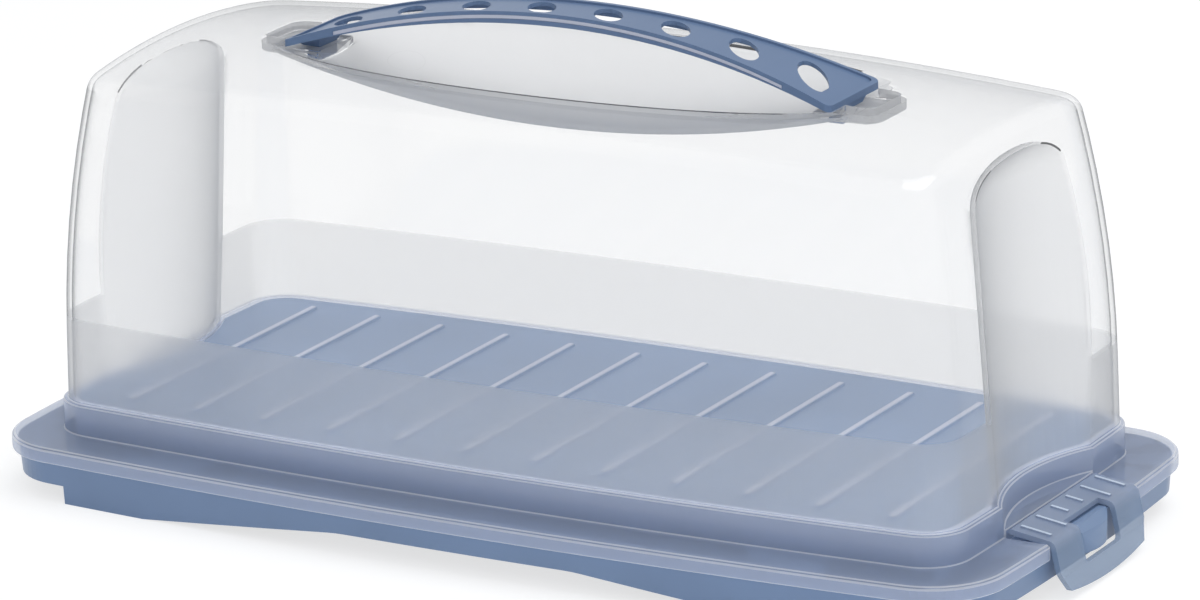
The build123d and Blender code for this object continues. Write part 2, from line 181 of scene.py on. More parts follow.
def taper_feet(piece):
    corner_x, corner_y, corner_z = FOOT_CORNER
    for along, stretch in ((corner_x, INNER_SHIFT), (corner_x + FOOT_LENGTH, 1.0)):
        select_only(piece)
        bpy.ops.object.mode_set(mode="EDIT")
        bpy.ops.mesh.select_mode(type="VERT")
        bpy.ops.mesh.select_all(action="DESELECT")
        bpy.ops.object.mode_set(mode="OBJECT")
        for vertex in piece.data.vertices:
            x, y, z = vertex.co
            gaps = (abs(x) - along, abs(y) - corner_y, z - corner_z)
            vertex.select = all(abs(gap) < FOOT_PLAY for gap in gaps)
        print("foot corners", sum(vertex.select for vertex in piece.data.vertices))
        bpy.ops.object.mode_set(mode="EDIT")
        bpy.ops.transform.resize(value=(stretch, FOOT_NARROWING, 1), center_override=(0, 0, 0))
        bpy.ops.object.mode_set(mode="OBJECT")


# %% [markdown]
# ## Tray, handle and latches
# The four opaque mouldings go through the same steps, so one table and one loop make them, where
# four blocks of code would differ by a few words each. A row gives the CAD node, the piece, the
# body that it rides on, its material slot and its edge round.

# %% The four opaque mouldings
MOULDINGS = (
    ("base_tray", "tray_moulding", "base", "tray_plastic", EDGE_ROUNDS["tray"]),
    ("carry_handle", "handle_moulding", "hood", "handle_plastic", EDGE_ROUNDS["handle"]),
    ("latch_left", "latch_moulding_left", "latch_left", "latch_plastic", EDGE_ROUNDS["latch"]),
    ("latch_right", "latch_moulding_right", "latch_right", "latch_plastic", EDGE_ROUNDS["latch"]),
)
made = {}
for node_name, piece_name, body, slot, edge_round in MOULDINGS:
    piece = merged_copy(node_name, piece_name)
    join_flats(piece)
    if node_name == "carry_handle":
        taper_feet(piece)
    soften(piece, edge_round)
    stand_in(piece, node_name, body)
    made[piece_name] = piece

tray = made["tray_moulding"]
handle = made["handle_moulding"]
latches = [made["latch_moulding_left"], made["latch_moulding_right"]]

# %% [markdown]
# ## Grained and clear parts of the hood
# The steel mould of a clear hood is polished where one should see the cake, and spark eroded to
# a fine grain where fingers grip it and where scuffs would show: a band round the foot of the
# walls, the hand recess in each end, and the dish under the handle. The band's upper edge and
# the ledge are bisected into the mesh. A recess could be picked by its outline, but its rim
# bends in three ways, so one face in its middle is picked instead and grows over its smooth
# neighbours to the sharp rim.

# %% Cut the band and grow the recesses
BAND_TOP = 54.5 * MM
LEDGE_TOP = 28.6 * MM
RIM_ANGLE = math.radians(18)
SEED_HALF = 8.0 * MM
END_SEED_START = 130.0 * MM
END_SEED_HEIGHTS = (65.0 * MM, 100.0 * MM)
DISH_SEED_HALF = 20.0 * MM
DISH_FOOT = 110.0 * MM


def is_recess_seed(place):
    x, y, z = abs(place.x), abs(place.y), place.z
    in_end = x > END_SEED_START and END_SEED_HEIGHTS[0] < z < END_SEED_HEIGHTS[1]
    in_dish = x < DISH_SEED_HALF and z > DISH_FOOT
    return y < SEED_HALF and (in_end or in_dish)


hood = merged_copy("hood", "hood_moulding")
select_only(hood)
bpy.ops.object.mode_set(mode="EDIT")
for height in (BAND_TOP, LEDGE_TOP):
    bpy.ops.mesh.select_all(action="SELECT")
    bpy.ops.mesh.bisect(plane_co=(0, 0, height), plane_no=(0, 0, 1))
bpy.ops.mesh.select_all(action="DESELECT")
bpy.ops.mesh.select_mode(type="FACE")
bpy.ops.object.mode_set(mode="OBJECT")
for face in hood.data.polygons:
    face.select = is_recess_seed(face.center)
seeds = sum(face.select for face in hood.data.polygons)
bpy.ops.object.mode_set(mode="EDIT")
bpy.ops.mesh.faces_select_linked_flat(sharpness=RIM_ANGLE)
bpy.ops.object.mode_set(mode="OBJECT")
print(seeds, "seed faces grew to", sum(face.select for face in hood.data.polygons))

# %% [markdown]
# ## Finding the dish
# The crown is a long shallow arch across a tighter one, and whatever lies more than a wall below
# it within the dish's reach is the dish. A test by place still holds when the mesh gets more
# faces, which a list of face numbers wouldn't.

# %% Crown and dish
CROWN_TOP = 140.8 * MM
CROWN_LONG_RADIUS = 1900.0 * MM
CROWN_CROSS_RADIUS = 280.0 * MM
WALL = 1.6 * MM
SKIN_PLAY = 0.15 * MM
DISH_HALF = (98.6 * MM, 43.5 * MM)


def crown_height(x, y):
    long_drop = CROWN_LONG_RADIUS - math.sqrt(CROWN_LONG_RADIUS ** 2 - x * x)
    cross_drop = CROWN_CROSS_RADIUS - math.sqrt(CROWN_CROSS_RADIUS ** 2 - y * y)
    return CROWN_TOP - long_drop - cross_drop


def is_under_crown(place):
    if abs(place.x) > DISH_HALF[0] or abs(place.y) > DISH_HALF[1] or place.z < DISH_FOOT:
        return False
    return place.z < crown_height(place.x, place.y) - WALL - SKIN_PLAY


print("crown at the dish's end", round(crown_height(DISH_HALF[0], 0) / MM, 1), "mm")

# %% [markdown]
# ## Finding the seats and the corners
# A seat is a box in space, of which only the upright walls and two level plates count. The
# corners of the walls are the upright faces that look along neither axis. A face's normal says
# which way it looks, so a small share of it along an axis means that the face is nearly parallel
# to that axis.

# %% Seats and corners
SEAT_START = 84.0 * MM
SEAT_END = 108.2 * MM
SEAT_HALF = 12.2 * MM
SEAT_FOOT = 132.8 * MM
SEAT_PLATES = (134.6 * MM, 133.0 * MM)
PLATE_PLAY = 0.1 * MM
UPRIGHT_TILT = 0.3
LEVEL_TILT = 0.98
CORNER_START = (120.0 * MM, 30.0 * MM)
CORNER_TURN = 0.2
CORNER_TILT = 0.35


def is_seat(place, normal):
    x, y = abs(place.x), abs(place.y)
    if not (SEAT_START < x < SEAT_END and y < SEAT_HALF and place.z > SEAT_FOOT):
        return False
    to_plate = min(abs(place.z - plate) for plate in SEAT_PLATES)
    is_plate = abs(normal.z) > LEVEL_TILT and to_plate < PLATE_PLAY
    return is_plate or abs(normal.z) < UPRIGHT_TILT


def is_corner(place, normal):
    far_out = abs(place.x) > CORNER_START[0] and abs(place.y) > CORNER_START[1]
    is_turning = abs(normal.x) > CORNER_TURN and abs(normal.y) > CORNER_TURN
    return far_out and is_turning and abs(normal.z) < CORNER_TILT


print("seat faces", sum(is_seat(face.center, face.normal) for face in hood.data.polygons))
corners = sum(is_corner(face.center, face.normal) for face in hood.data.polygons)
print("upright corner faces", corners)

# %% [markdown]
# ## Sorting the faces
# Eight finishes share the one mesh, each in a material slot of its own. Cutting the hood up into
# eight pieces would also work, but it would leave a seam at every border of a clear skin. The
# slots are still empty here, and the plastics come later.

# %% A slot for each finish
POLISHED, ERODED, SEAT, OVER_TRAY, BRIGHT_EDGE, DARK_EDGE, DISH, CORNER = range(8)
FINISH_COUNT = 8


def finish_of(face):
    place = face.center
    if place.z < LEDGE_TOP:
        return OVER_TRAY
    if is_seat(place, face.normal):
        return SEAT
    if is_under_crown(place) or (face.select and abs(place.x) < DISH_HALF[0]):
        return DISH
    if face.select or place.z < BAND_TOP:
        return ERODED
    return CORNER if is_corner(place, face.normal) else POLISHED


hood.data.materials.clear()
for finish in range(FINISH_COUNT):
    hood.data.materials.append(None)
finishes = [finish_of(face) for face in hood.data.polygons]
hood.data.polygons.foreach_set("material_index", finishes)
print("faces by finish", [finishes.count(finish) for finish in range(FINISH_COUNT)])

# %% [markdown]
# ## Edges of the hood
# In clear plastic a round edge shows as a line. The flange's outer edges collect the light and
# look bright, and the rims of the dish and of the hand recesses bend it away and look dark. The
# bevel puts all its new faces in one slot, and they are then shared out by place. The inner
# skin's edges stay plain, because a second line beside the first would look like a double image.

# %% Soft edges and their finish
EDGE_PLAY = 1.0 * MM
RECESS_START = 120.0 * MM
RECESS_HALF = 48.0 * MM
RECESS_TOP = 125.0 * MM


def edge_finish(face):
    x, y, z = face.center
    is_outer = face.normal.x * x + face.normal.y * y > 0
    if z < LEDGE_TOP + EDGE_PLAY:
        return BRIGHT_EDGE if is_outer else OVER_TRAY
    over_dish = abs(x) < SEAT_START and abs(y) < DISH_HALF[1] + EDGE_PLAY
    is_dish_rim = over_dish and z > crown_height(x, y) - EDGE_PLAY
    near_recess = abs(x) > RECESS_START and abs(y) < RECESS_HALF and z < RECESS_TOP
    return DARK_EDGE if is_dish_rim or (is_outer and near_recess) else POLISHED


soften(hood, EDGE_ROUNDS["hood"], edge_slot=BRIGHT_EDGE, clamp=False)
for face in hood.data.polygons:
    if face.material_index == BRIGHT_EDGE:
        face.material_index = edge_finish(face)
finishes = [face.material_index for face in hood.data.polygons]
stand_in(hood, "hood", "hood")
print("faces by finish", [finishes.count(finish) for finish in range(FINISH_COUNT)])

# %% [markdown]
# ## Building materials in code
# `colour` turns an sRGB hex code to the linear values that a shader wants. `add` makes a node
# with its settings and its links in one line. It finds a socket by name, or by number where
# names repeat: a colour Mix has its factor at 0, its colours at 6 and 7, and its result at 2.

# %% Helpers for node materials
def colour(hex_code):
    parts = [int(hex_code[i:i + 2], 16) / 255 for i in (1, 3, 5)]
    linear = [c / 12.92 if c <= 0.04045 else ((c + 0.055) / 1.055) ** 2.4 for c in parts]
    return (*linear, 1.0)


def add(tree, kind, inputs=None, **settings):
    node = tree.nodes.new(kind)
    for key, value in settings.items():
        setattr(node, key, value)
    for key, value in (inputs or {}).items():
        socket = node.inputs[key]
        if isinstance(value, bpy.types.NodeSocket):
            tree.links.new(value, socket)
        else:
            socket.default_value = value
    return node


def new_material(name):
    material = bpy.data.materials.new(name)
    material.use_nodes = True
    material.node_tree.nodes.clear()
    print("material", name)
    return material, material.node_tree


# %% [markdown]
# ## Giving a piece its finishes
# `dress` puts materials in a piece's slots, and every face starts in the first. A groove or ridge
# with a painted highlight is the same moulding as the rest, so `second_finish` moves the faces
# that pass a test to the second slot instead of laying a strip over them.

# %% Dress a piece
def dress(piece, *materials):
    piece.data.materials.clear()
    for material in materials:
        piece.data.materials.append(material)


def second_finish(piece, test):
    picked = [int(test(face)) for face in piece.data.polygons]
    piece.data.polygons.foreach_set("material_index", picked)
    print(piece.name, "has", sum(picked), "faces of", piece.data.materials[1].name)


# %% [markdown]
# ## Satin polypropylene
# Tray and latches are blue-grey polypropylene, injection moulded in a lightly spark-finished
# tool. That gives the eye a satin sheen and a very fine grain. Above a set height the tone turns
# paler, a painted highlight where light from above catches the crests, so a Map Range on Z blends
# the two tones. The latches have less pigment, and `clear` lets that share of the light pass.

# %% Satin polypropylene
POLYPROPYLENE_IOR = 1.49
CLOUD = 40.0 * MM                # pigment is a little uneven over this distance
CLOUD_DEPTH = 0.06
SPARK_GRAIN = 0.625 * MM         # the real grain is about ten times finer and would not show
GRAIN_DEPTH = 0.05 * MM
GRAIN_STRENGTH = 0.04
ROUGHNESS_PLAY = 0.02
NOISE_RANGE = {"From Min": 0.3, "From Max": 0.7}
THIN_PLASTIC = "#F3F7FC"


def satin_polypropylene(name, body, crest_highlight, highlight_heights, roughness, clear=0.0):
    material, tree = new_material(name)
    place = add(tree, "ShaderNodeTexCoord").outputs["Object"]
    height = add(tree, "ShaderNodeSeparateXYZ", {"Vector": place}).outputs["Z"]
    cloud = add(tree, "ShaderNodeTexNoise", {
        "Vector": place, "Scale": 1 / CLOUD, "Detail": 2.0}).outputs["Fac"]
    grain = add(tree, "ShaderNodeTexNoise", {
        "Vector": place, "Scale": 1 / SPARK_GRAIN, "Detail": 2.0}).outputs["Fac"]
    # painted highlight: paler above a set height, where light from above catches the crests
    highlight_share = add(tree, "ShaderNodeMapRange", {
        "Value": height, "From Min": highlight_heights[0], "From Max": highlight_heights[1]},
        interpolation_type="SMOOTHSTEP").outputs["Result"]
    cloudy = add(tree, "ShaderNodeMapRange", {
        "Value": cloud, "To Min": 1 - CLOUD_DEPTH, "To Max": 1 + CLOUD_DEPTH,
        **NOISE_RANGE}).outputs["Result"]
    base = add(tree, "ShaderNodeMix", {
        0: highlight_share, 6: colour(body), 7: colour(crest_highlight)}, data_type="RGBA").outputs[2]
    tone = add(tree, "ShaderNodeVectorMath", {0: base, 3: cloudy}, operation="SCALE").outputs[0]
    bump = add(tree, "ShaderNodeBump", {
        "Height": grain, "Strength": GRAIN_STRENGTH, "Distance": GRAIN_DEPTH}).outputs["Normal"]
    least, most = roughness - ROUGHNESS_PLAY, roughness + ROUGHNESS_PLAY
    rough = add(tree, "ShaderNodeMapRange", {
        "Value": grain, "To Min": least, "To Max": most, **NOISE_RANGE}).outputs["Result"]
    surface = add(tree, "ShaderNodeBsdfPrincipled", {
        "Base Color": tone, "Roughness": rough, "IOR": POLYPROPYLENE_IOR,
        "Normal": bump}).outputs["BSDF"]
    if clear > 0:
        skin = add(tree, "ShaderNodeBsdfTransparent", {"Color": colour(THIN_PLASTIC)}).outputs[0]
        surface = add(tree, "ShaderNodeMixShader", {0: clear, 1: surface, 2: skin}).outputs[0]
    add(tree, "ShaderNodeOutputMaterial", {"Surface": surface})
    return material


# %% [markdown]
# ## Tray plastic
# The ribs on the floor have pale crests, a painted highlight. The floor's own rim has a paler
# colour, a painted highlight along its rounded edge. A thin ring laid over it would hide the real
# edge, so
# its own faces are picked: the slanted ones just under the floor's level.

# %% Dress the tray
RIB_HIGHLIGHT_HEIGHTS = (28.4 * MM, 28.9 * MM)
FLOOR_TOP = 28.1 * MM
FLOOR_PLAY = 0.01 * MM
RIM_DEPTH = 0.6 * MM
RIM_TILTS = (0.1, 0.97)


def is_floor_rim(face):
    at_height = FLOOR_TOP - RIM_DEPTH < face.center.z < FLOOR_TOP + FLOOR_PLAY
    return at_height and RIM_TILTS[0] < face.normal.z < RIM_TILTS[1]


# satin blue-grey: an even, low sheen, with rib crests painted paler as a highlight
tray_paint = satin_polypropylene(
    "satin_polypropylene_blue_grey", "#6F86A8", "#AFB6C9", RIB_HIGHLIGHT_HEIGHTS, roughness=0.34)
# painted highlight: a thin pale line round the floor's rim
rim_highlight_paint = satin_polypropylene(
    "polypropylene_rim_painted_highlight", "#C4CADA", "#AFB6C9", RIB_HIGHLIGHT_HEIGHTS, roughness=0.30)
dress(tray, tray_paint, rim_highlight_paint)
second_finish(tray, is_floor_rim)

# %% [markdown]
# ## Latch plastic
# A latch is paler than the tray, and some light passes through it. Its upper tab is painted
# paler, as light from above, and the crests of its grip ridges carry a pale painted highlight.
# Those are the faces that look up and stand above the tab's sloping outer skin, so the height of
# that skin is worked out first. A brush stroke over each ridge would do it as well, but would
# have to be drawn again for the other latch.

# %% Dress the latches
# the tab turns paler over these heights: a painted highlight from above
TAB_HIGHLIGHT_HEIGHTS = (15.0 * MM, 19.0 * MM)
TAB_INNER = (158.90 * MM, 19.90 * MM)
TAB_OUTER = (172.30 * MM, 17.90 * MM)
TAB_WALL = 1.8 * MM
BEND_ROUND = 2.0 * MM
GRIP_RISE = 0.7 * MM
GRIP_TILT = 0.6


def tab_height(x):
    (inner_x, inner_z), (outer_x, outer_z) = TAB_INNER, TAB_OUTER
    return inner_z + (outer_z - inner_z) * (x - inner_x) / (outer_x - inner_x) + TAB_WALL / 2


def is_grip(face):
    x = abs(face.center.x)
    is_raised = face.center.z > tab_height(x) + GRIP_RISE / 2
    return is_raised and face.normal.z > GRIP_TILT and x < TAB_OUTER[0] - BEND_ROUND


# smoother and partly clear: paler than the tray, with a little of what is behind it, and its
# upper tab paler as a painted highlight
latch_paint = satin_polypropylene(
    "satin_polypropylene_latch", "#8298B5", "#A0AEC6", TAB_HIGHLIGHT_HEIGHTS, roughness=0.24, clear=0.45)
# painted highlight: pale ridges with a shine
grip_highlight_paint = satin_polypropylene(
    "polypropylene_grips_painted_highlight", "#B4C2D8", "#BAC7DA", TAB_HIGHLIGHT_HEIGHTS, roughness=0.20)
for latch in latches:
    dress(latch, latch_paint, grip_highlight_paint)
    second_finish(latch, is_grip)

# %% [markdown]
# ## Handle plastic
# The same resin in a deeper blue, moulded in a smoother tool. It has no grain, so the eye sees a
# soft sheen with faint ripples where the resin flowed. The ripples could be modelled, but they
# are far shallower than any face, so a weak bump draws them.

# %% Smooth polypropylene
STRAP_CLOUD = 33.33 * MM
RIPPLE = 5.556 * MM
RIPPLE_DEPTH = 0.1 * MM
RIPPLE_STRENGTH = 0.08


def smooth_polypropylene(name, shade, tint, roughness, specular):
    material, tree = new_material(name)
    place = add(tree, "ShaderNodeTexCoord").outputs["Object"]
    cloud = add(tree, "ShaderNodeTexNoise", {
        "Vector": place, "Scale": 1 / STRAP_CLOUD, "Detail": 2.0}).outputs["Fac"]
    tone = add(tree, "ShaderNodeMix", {
        0: cloud, 6: colour(shade), 7: colour(tint)}, data_type="RGBA").outputs[2]
    ripple = add(tree, "ShaderNodeTexNoise", {
        "Vector": place, "Scale": 1 / RIPPLE, "Detail": 1.0}).outputs["Fac"]
    bump = add(tree, "ShaderNodeBump", {
        "Height": ripple, "Strength": RIPPLE_STRENGTH,
        "Distance": RIPPLE_DEPTH}).outputs["Normal"]
    surface = add(tree, "ShaderNodeBsdfPrincipled", {
        "Base Color": tone, "Roughness": roughness, "IOR": POLYPROPYLENE_IOR,
        "Specular IOR Level": specular, "Normal": bump}).outputs["BSDF"]
    add(tree, "ShaderNodeOutputMaterial", {"Surface": surface})
    return material


# %% [markdown]
# ## Handle and its grooves
# A shallow groove runs along each side of the strap, and its pale colour paints the thin line of
# light that its floor catches: a painted highlight. The strap is arched, so height doesn't find
# the groove. Its floor lies a set depth inside the strap's waisted outline, and that picks its
# faces.

# %% Dress the handle
STRAP_HALF_LENGTH = 95.0 * MM
STRAP_MID_HALF = 9.6 * MM
STRAP_END_HALF = 16.5 * MM
GROOVE_REACH = 78.5 * MM
GROOVE_DEPTH = 0.5 * MM
DEPTH_PLAY = 0.12 * MM
SIDEWAYS = 0.9


def is_groove_floor(face):
    along, across = abs(face.center.x), abs(face.center.y)
    widening = (STRAP_END_HALF - STRAP_MID_HALF) * (along / STRAP_HALF_LENGTH) ** 2
    depth = STRAP_MID_HALF + widening - across
    at_depth = abs(depth - GROOVE_DEPTH) < DEPTH_PLAY
    return at_depth and along < GROOVE_REACH and abs(face.normal.y) > SIDEWAYS


# deeper blue, almost without shine
strap_paint = smooth_polypropylene(
    "satin_polypropylene_handle", "#627797", "#697E9E", roughness=0.3, specular=0.08)
# painted highlight: a pale line with a shine in the groove
groove_highlight_paint = smooth_polypropylene(
    "polypropylene_groove_painted_highlight", "#C6CADC", "#D2D6E4", roughness=0.15, specular=0.5)
dress(handle, strap_paint, groove_highlight_paint)
second_finish(handle, is_groove_floor)

# %% [markdown]
# ## Marks on the dish
# A thick corner of clear plastic bends light away, so a dark line runs along the dish's rim, and
# the place where the resin entered the mould leaves a small ring. Both are far thinner than a
# face of the mesh, so the shader draws them. The rim line follows the crown's own formula: each
# arch drops by about x squared over twice its radius, and adding the drops back gives one level
# for the crown.

# %% Rim line and gate ring
RIM_LINE = 0.8 * MM
RIM_SOFTNESS = 0.1 * MM
RIM_GREY = "#48494D"
GATE_CENTRE = (-67.2 * MM, 10.7 * MM, 0)
GATE_RADIUS = 5.8 * MM
GATE_LINE = 0.12 * MM
GATE_SHADE = 0.25


def dish_marks(tree):
    place = add(tree, "ShaderNodeTexCoord").outputs["Object"]
    cut = add(tree, "ShaderNodeSeparateXYZ", {"Vector": place})
    level = cut.outputs["Z"]
    for axis, radius in (("X", CROWN_LONG_RADIUS), ("Y", CROWN_CROSS_RADIUS)):
        square = add(tree, "ShaderNodeMath", {
            0: cut.outputs[axis], 1: 2.0}, operation="POWER").outputs[0]
        level = add(tree, "ShaderNodeMath", {
            0: square, 1: 0.5 / radius, 2: level}, operation="MULTIPLY_ADD").outputs[0]
    rim = add(tree, "ShaderNodeMapRange", {
        "Value": level, "From Min": CROWN_TOP - RIM_LINE - RIM_SOFTNESS,
        "From Max": CROWN_TOP - RIM_LINE}).outputs["Result"]
    along = add(tree, "ShaderNodeMath", {0: cut.outputs["X"]}, operation="ABSOLUTE").outputs[0]
    between = add(tree, "ShaderNodeMath", {
        0: along, 1: SEAT_START}, operation="LESS_THAN").outputs[0]
    rim = add(tree, "ShaderNodeMath", {0: rim, 1: between}, operation="MULTIPLY").outputs[0]
    flat = add(tree, "ShaderNodeVectorMath", {
        0: place, 1: (1, 1, 0)}, operation="MULTIPLY").outputs[0]
    reach = add(tree, "ShaderNodeVectorMath", {
        0: flat, 1: GATE_CENTRE}, operation="DISTANCE").outputs["Value"]
    ring = add(tree, "ShaderNodeMath", {
        0: reach, 1: GATE_RADIUS, 2: GATE_LINE}, operation="COMPARE").outputs[0]
    faint = add(tree, "ShaderNodeMath", {
        0: ring, 1: GATE_SHADE}, operation="MULTIPLY").outputs[0]
    return add(tree, "ShaderNodeMath", {0: rim, 1: faint}, operation="MAXIMUM").outputs[0]


# %% [markdown]
# ## Clear polystyrene
# The hood is clear polystyrene 1.6 mm thick. Straight on, its polished skin all but vanishes. At
# a glancing angle it reflects the room and takes a little grey. Real glass in the shader would
# leave the tray in shadow and need far more samples, so the skin is transparent, with gloss by
# the facing angle. `haze` is the share of light that the skin scatters, `milk` is the colour of
# it, and a lamp's light passes with a small loss.

# %% The clear skin
SLANT_POWER = 3.0
EDGE_POWER = 12.0
MIRROR_POWER = 5.0
MIRROR_LEAST = 0.04
CLEAR_TINT = "#FEFEFE"
# toward the outline the see-through tint turns dark grey: partly absorption along the slanted
# path, partly a painted dark reflection of the studio
EDGE_TINT = "#3F454B"
LAMP_TINT = "#F8F9F9"
WHITE = "#FFFFFF"


def skin_optics(tree, scatter, slanted_scatter, edge_power):
    """Facing angle, see-through tint and haze of a skin."""
    facing = add(tree, "ShaderNodeLayerWeight", {"Blend": 0.5}).outputs["Facing"]
    slant = add(tree, "ShaderNodeMath", {0: facing, 1: SLANT_POWER}, operation="POWER").outputs[0]
    edge = add(tree, "ShaderNodeMath", {0: facing, 1: edge_power}, operation="POWER").outputs[0]
    tint = add(tree, "ShaderNodeMix", {
        0: edge, 6: colour(CLEAR_TINT), 7: colour(EDGE_TINT)}, data_type="RGBA").outputs[2]
    haze = add(tree, "ShaderNodeMath", {
        0: slant, 1: slanted_scatter, 2: scatter}, operation="MULTIPLY_ADD").outputs[0]
    return facing, tint, haze


def glossed(tree, skin, facing, mirror, roughness):
    """A skin with the room's reflection over it and a lamp's light let through."""
    rim = add(tree, "ShaderNodeMath", {0: facing, 1: MIRROR_POWER}, operation="POWER").outputs[0]
    share = add(tree, "ShaderNodeMath", {
        0: rim, 1: mirror, 2: MIRROR_LEAST}, operation="MULTIPLY_ADD").outputs[0]
    gloss = add(tree, "ShaderNodeBsdfGlossy", {
        "Color": colour(WHITE), "Roughness": roughness}).outputs[0]
    skin = add(tree, "ShaderNodeMixShader", {0: share, 1: skin, 2: gloss}).outputs[0]
    from_lamp = add(tree, "ShaderNodeLightPath").outputs["Is Shadow Ray"]
    light = add(tree, "ShaderNodeBsdfTransparent", {"Color": colour(LAMP_TINT)}).outputs[0]
    return add(tree, "ShaderNodeMixShader", {0: from_lamp, 1: skin, 2: light}).outputs[0]


# %% [markdown]
# ## Spark-eroded polystyrene
# A spark-eroded mould leaves a skin of tiny pits. It bends light a little each way, so what is
# far behind it blurs, and it scatters some, more at a glancing angle and unevenly over the
# grain. A weak, rough refraction over the clear skin gives the blur, and a noise breaks up the
# haze.

# %% The grained skin
FROST_GRAIN = 0.7 * MM           # the real grain is near 0.05 mm and would not show
FROST_RANGE = {"To Min": 0.8, "To Max": 1.2}
BLUR_ROUGHNESS = 0.9
BLUR_IOR = 1.055


def grained(tree, skin, tint, haze, blur):
    place = add(tree, "ShaderNodeTexCoord").outputs["Object"]
    grain = add(tree, "ShaderNodeTexNoise", {
        "Vector": place, "Scale": 1 / FROST_GRAIN, "Detail": 2.0}).outputs["Fac"]
    speckle = add(tree, "ShaderNodeMapRange", {
        "Value": grain, **NOISE_RANGE, **FROST_RANGE}).outputs["Result"]
    haze = add(tree, "ShaderNodeMath", {0: haze, 1: speckle}, operation="MULTIPLY").outputs[0]
    bent = add(tree, "ShaderNodeBsdfRefraction", {
        "Color": tint, "Roughness": BLUR_ROUGHNESS, "IOR": BLUR_IOR}).outputs[0]
    skin = add(tree, "ShaderNodeMixShader", {0: blur, 1: skin, 2: bent}).outputs[0]
    return skin, haze


# %% [markdown]
# ## The whole plastic
# The parts above are layered as light meets them: the clear or grained skin, the milky share
# that the haze scatters back or lets through, and the gloss on top. Marks, where a finish has
# them, are laid into the haze, so that they show from inside the hood as well as from outside.

# %% Clear polystyrene
BACK_SHARE = {"polished": 0.5, "grained": 0.9}


def clear_polystyrene(name, scatter, slanted_scatter, milk, mirror, roughness,
                      blur=0.0, marks=None, edge_power=EDGE_POWER):
    material, tree = new_material(name)
    facing, tint, haze = skin_optics(tree, scatter, slanted_scatter, edge_power)
    skin = add(tree, "ShaderNodeBsdfTransparent", {"Color": tint}).outputs[0]
    if blur > 0:
        skin, haze = grained(tree, skin, tint, haze, blur)
    milk = colour(milk)
    if marks:
        mark = marks(tree)
        haze = add(tree, "ShaderNodeMath", {0: haze, 1: mark}, operation="MAXIMUM").outputs[0]
        milk = add(tree, "ShaderNodeMix", {
            0: mark, 6: milk, 7: colour(RIM_GREY)}, data_type="RGBA").outputs[2]
    through = add(tree, "ShaderNodeBsdfTranslucent", {"Color": milk}).outputs[0]
    back = add(tree, "ShaderNodeBsdfDiffuse", {"Color": milk}).outputs[0]
    back_share = BACK_SHARE["grained" if blur > 0 else "polished"]
    milky = add(tree, "ShaderNodeMixShader", {0: back_share, 1: through, 2: back}).outputs[0]
    skin = add(tree, "ShaderNodeMixShader", {0: haze, 1: skin, 2: milky}).outputs[0]
    skin = glossed(tree, skin, facing, mirror, roughness)
    add(tree, "ShaderNodeOutputMaterial", {"Surface": skin})
    return material


# %% [markdown]
# ## Eight finishes of one plastic
# They differ in how much light they scatter, straight on and at a slant, and in how sharply they
# reflect. One function with named values keeps them comparable, where eight node trees drawn by
# hand would soon drift apart.

# %% Dress the hood
CLEAR = {"scatter": 0.01, "slanted_scatter": 0.25, "milk": "#D0D2D6", "roughness": 0.06}
FROST = {
    "slanted_scatter": 0.52, "milk": "#C0C2C6", "mirror": 0.15, "roughness": 0.45, "blur": 0.6}
HOOD_FINISHES = {
    # polished: clear as glass, with a sharp reflection at a glancing angle
    POLISHED: clear_polystyrene("clear_polystyrene_polished", mirror=0.35, **CLEAR),
    # upright corners: polished too, and the painted dark reflection at their outline reaches
    # further in
    CORNER: clear_polystyrene("clear_polystyrene_corner", mirror=0.20, edge_power=4.0, **CLEAR),
    # band and hand recesses, spark eroded: a soft, even frost
    ERODED: clear_polystyrene("clear_polystyrene_spark_eroded", scatter=0.14, **FROST),
    # dish, spark eroded: a little more frost, with its rim line and gate ring
    DISH: clear_polystyrene("clear_polystyrene_dish", scatter=0.16, marks=dish_marks, **FROST),
    # seats under the handle's feet, grained on both skins: a nearly opaque grey, which is a
    # painted dark reflection in the recess
    SEAT: clear_polystyrene(
        "clear_polystyrene_seat", scatter=0.70, slanted_scatter=0.20, milk="#B4B5B8",
        mirror=0.15, roughness=0.45),
    # flange and ledge, close over the tray: they take on its blue, and their pale milk is painted
    # light that lifts the shaded tray beneath
    OVER_TRAY: clear_polystyrene(
        "clear_polystyrene_over_tray", scatter=0.42, slanted_scatter=0.30, milk="#C6D0E4",
        mirror=0.35, roughness=0.10),
    # round edges that collect light: a thin white line
    BRIGHT_EDGE: clear_polystyrene(
        "clear_polystyrene_lit_edge", scatter=0.62, slanted_scatter=0.20, milk="#F2F3F8",
        mirror=0.35, roughness=0.10),
    # round rims that bend light away: a thin dark line
    DARK_EDGE: clear_polystyrene(
        "clear_polystyrene_dark_rim", scatter=0.90, slanted_scatter=0.10, milk="#46474B",
        mirror=0.15, roughness=0.10),
}
for slot_index, finish in HOOD_FINISHES.items():
    hood.data.materials[slot_index] = finish
print("hood slots", [material.name for material in hood.data.materials])

# %% [markdown]
# ## White table
# A sheet of matt white laminate. It is plain white where the camera, a reflection or clear
# plastic looks at it, and dimmer where it lights the object, so that the plastics keep their
# colour. A brighter lamp would whiten it too, but would wash out the carrier. Some of the white
# is the table's own glow, and the rest is lit, so the carrier's shadow stays.

# %% White table
TABLE_SIZE = 12.0
TABLE_WHITE = "#F6F6F6"
SEEN_GREY = "#A2A2A2"
SEEN_GLOW = 0.70


def seen_directly(tree):
    path = add(tree, "ShaderNodeLightPath").outputs
    seen = add(tree, "ShaderNodeMath", {
        0: path["Is Camera Ray"], 1: path["Is Transmission Ray"]}, operation="MAXIMUM").outputs[0]
    return add(tree, "ShaderNodeMath", {
        0: seen, 1: path["Is Glossy Ray"]}, operation="MAXIMUM").outputs[0]


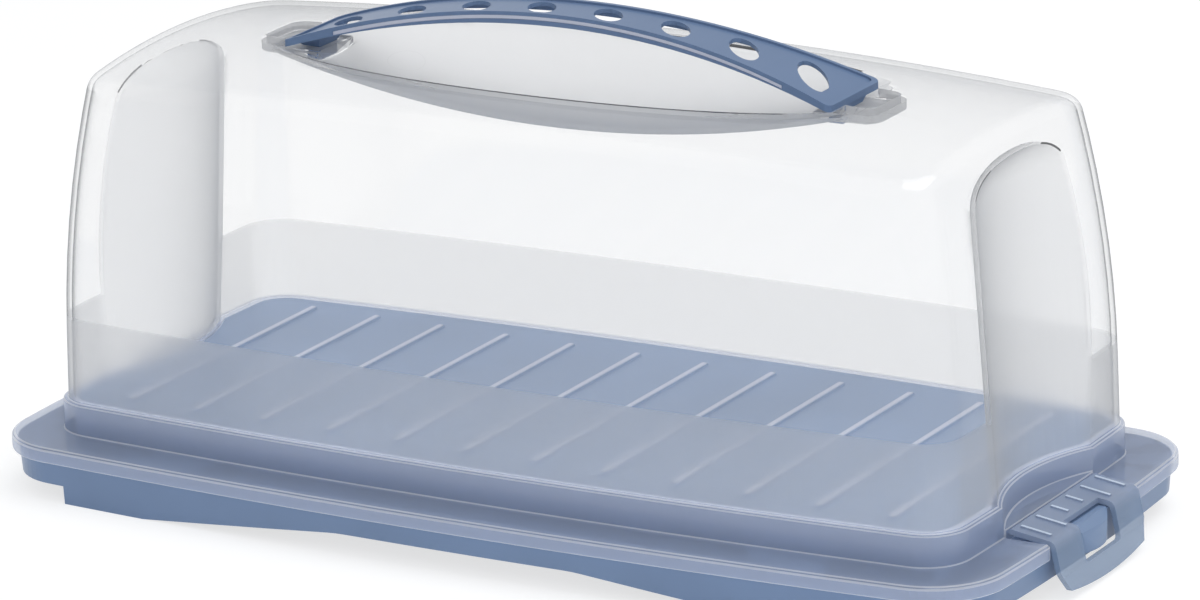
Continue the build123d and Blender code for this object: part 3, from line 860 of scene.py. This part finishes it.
def white_table():
    material, tree = new_material("matt_white_laminate")
    paint = add(tree, "ShaderNodeBsdfDiffuse", {"Color": colour(TABLE_WHITE)}).outputs[0]
    shade = add(tree, "ShaderNodeBsdfDiffuse", {"Color": colour(SEEN_GREY)}).outputs[0]
    glow = add(tree, "ShaderNodeEmission", {
        "Color": colour(WHITE), "Strength": SEEN_GLOW}).outputs[0]
    bright = add(tree, "ShaderNodeAddShader", {0: shade, 1: glow}).outputs[0]
    mixed = add(tree, "ShaderNodeMixShader", {
        0: seen_directly(tree), 1: paint, 2: bright}).outputs[0]
    add(tree, "ShaderNodeOutputMaterial", {"Surface": mixed})
    return material


bpy.ops.object.select_all(action="DESELECT")
bpy.ops.mesh.primitive_plane_add(size=TABLE_SIZE)
table = bpy.context.object
table.name = "studio_table"
dress(table, white_table())
print("table", TABLE_SIZE, "m wide")

# %% [markdown]
# ## White room
# The room is white for the same three kinds of ray, and a dimmer, faintly blue sky lights the
# object. Walls would work too, but they cost light bounces that a background colour doesn't.

# %% White room
ROOM_SEEN = 1.0
ROOM_TINT = "#F9FCFF"
ROOM_LIGHT = 0.55

world = bpy.data.worlds.new("studio_room")
bpy.context.scene.world = world
world.use_nodes = True
room = world.node_tree
room.nodes.clear()
white = add(room, "ShaderNodeBackground", {"Color": colour(WHITE), "Strength": ROOM_SEEN})
dim = add(room, "ShaderNodeBackground", {"Color": colour(ROOM_TINT), "Strength": ROOM_LIGHT})
mixed = add(room, "ShaderNodeMixShader", {
    0: seen_directly(room), 1: dim.outputs[0], 2: white.outputs[0]})
add(room, "ShaderNodeOutputWorld", {"Surface": mixed.outputs[0]})
print("room lights the object at", ROOM_LIGHT)

# %% [markdown]
# ## Lamps
# A large softbox overhead models the forms, and two weaker ones at the sides lift the near
# walls. The side ones are kept out of reflections, because a bright square in the plastic would
# draw the eye. A row gives the name, place, aim, width, height, watts and whether reflections
# show it.

# %% Softboxes
SOFTBOXES = (
    ("top_softbox", (0.5, 0.2, 1.5), (0, 0, 0.1), 1.6, 1.2, 11.0, True),
    ("right_softbox", (1.3, -1.4, 0.9), (0, 0, 0.08), 0.8, 1.2, 8.0, False),
    ("left_softbox", (-1.5, -0.9, 0.8), (0, 0, 0.08), 0.7, 1.1, 3.0, False),
)
for name, place, aim, width, height, power, is_mirrored in SOFTBOXES:
    light = bpy.data.lights.new(name, "AREA")
    light.shape = "RECTANGLE"
    light.size = width
    light.size_y = height
    light.energy = power
    lamp = bpy.data.objects.new(name, light)
    bpy.context.scene.collection.objects.link(lamp)
    lamp.location = place
    lamp.rotation_euler = (Vector(aim) - Vector(place)).to_track_quat("-Z", "Y").to_euler()
    lamp.visible_glossy = is_mirrored
    print(name, power, "W")
